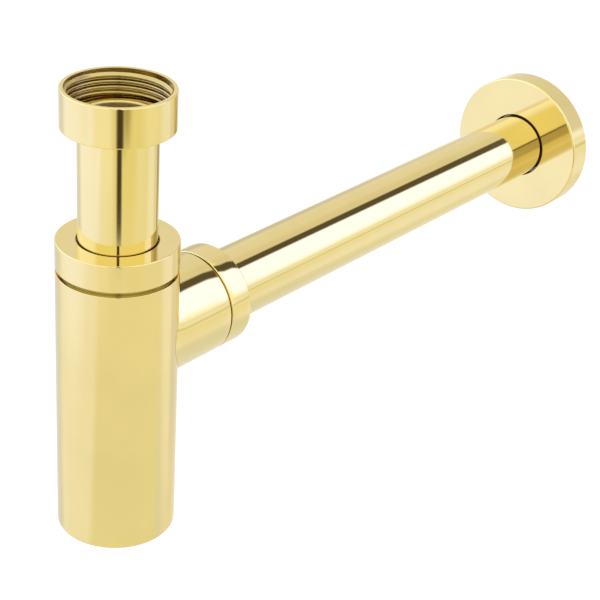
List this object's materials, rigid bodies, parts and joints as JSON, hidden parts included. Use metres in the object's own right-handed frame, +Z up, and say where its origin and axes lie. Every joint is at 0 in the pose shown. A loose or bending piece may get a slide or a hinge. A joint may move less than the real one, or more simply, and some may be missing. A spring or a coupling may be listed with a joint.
{
  "type": "basin trap",
  "caption": "Bottle trap for a wash basin: union nut, sliding inlet tube, straight bottle, side branch with ring nut, and a long tube to a round wall flange.",
  "frame": {"origin": "centre of the mouth of the inlet nut, where the basin waste screws in", "axes": "+Z up along the inlet tube towards the basin, +Y along the wall tube towards the wall, +X to the right as seen from the room"},
  "size_m": [0.0722, 0.355, 0.197],
  "materials": {
    "gold_finish": "polished",
    "bare_brass": "turned",
    "nylon": "matte",
    "rubber": "matte"
  },
  "bodies": {
    "bottle": {"bottle_shell": "gold_finish", "neck_ring": "bare_brass", "side_branch": "gold_finish", "base_ring": "bare_brass"},
    "inlet_seal": {"inlet_cone_seal": "rubber"},
    "inlet_pipe": {"inlet_tube": "gold_finish"},
    "nut_ring": {"inlet_slip_ring": "nylon"},
    "union_nut": {"inlet_nut": "gold_finish"},
    "cap_ring": {"cap_slip_ring": "nylon"},
    "cap": {"top_cap": "gold_finish"},
    "outlet_ring": {"outlet_slip_ring": "nylon"},
    "ring_nut": {"outlet_nut": "gold_finish"},
    "outlet_seal": {"outlet_cone_seal": "rubber"},
    "wall_pipe": {"wall_tube": "gold_finish"},
    "grip_ring": {"flange_grip_ring": "rubber"},
    "flange": {"wall_flange": "gold_finish"},
    "plug_ring": {"plug_seal_ring": "rubber"},
    "plug": {"base_plug": "gold_finish"}
  },
  "joints": [
    {"name": "inlet_turn", "type": "hinge", "parent": "bottle", "child": "inlet_seal", "pos_m": [0, 0, 0], "axis": [0, 0, 1], "continuous": true},
    {"name": "inlet_slide", "type": "slide", "parent": "inlet_seal", "child": "inlet_pipe", "axis": [0, 0, 1], "range_m": [-0.01, 0.04]},
    {"name": "nut_slide", "type": "slide", "parent": "inlet_pipe", "child": "nut_ring", "axis": [0, 0, -1], "range_m": [0, 0.027]},
    {"name": "nut_turn", "type": "hinge", "parent": "nut_ring", "child": "union_nut", "pos_m": [0, 0, 0], "axis": [0, 0, 1], "continuous": true},
    {"name": "cap_rise", "type": "slide", "parent": "bottle", "child": "cap_ring", "axis": [0, 0, 1], "range_m": [0, 0.0045]},
    {"name": "cap_turn", "type": "hinge", "parent": "cap_ring", "child": "cap", "pos_m": [0, 0, 0], "axis": [0, 0, 1], "range_deg": [0, 1080]},
    {"name": "outlet_nut_travel", "type": "slide", "parent": "bottle", "child": "outlet_ring", "axis": [0, 1, 0], "range_m": [0, 0.0045]},
    {"name": "outlet_nut_turn", "type": "hinge", "parent": "outlet_ring", "child": "ring_nut", "pos_m": [0, 0, -0.10916], "axis": [0, 1, 0], "range_deg": [0, 1080]},
    {"name": "wall_pipe_turn", "type": "hinge", "parent": "bottle", "child": "outlet_seal", "pos_m": [0, 0, -0.10916], "axis": [0, 1, 0], "continuous": true},
    {"name": "wall_pipe_slide", "type": "slide", "parent": "outlet_seal", "child": "wall_pipe", "axis": [0, 1, 0], "range_m": [-0.006, 0.015]},
    {"name": "flange_slide", "type": "slide", "parent": "wall_pipe", "child": "grip_ring", "axis": [0, -1, 0], "range_m": [-0.016, 0.22]},
    {"name": "flange_turn", "type": "hinge", "parent": "grip_ring", "child": "flange", "pos_m": [0, 0, -0.10916], "axis": [0, 1, 0], "continuous": true},
    {"name": "plug_drop", "type": "slide", "parent": "bottle", "child": "plug_ring", "axis": [0, 0, -1], "range_m": [0, 0.0045]},
    {"name": "plug_turn", "type": "hinge", "parent": "plug_ring", "child": "plug", "pos_m": [0, 0, 0], "axis": [0, 0, -1], "range_deg": [0, 1080]}
  ],
  "couplings": [
    {"joint": "cap_turn", "follows": "cap_rise", "rad_per_m": 4188.8},
    {"joint": "outlet_nut_turn", "follows": "outlet_nut_travel", "rad_per_m": 4188.8},
    {"joint": "plug_turn", "follows": "plug_drop", "rad_per_m": 4188.8}
  ]
}
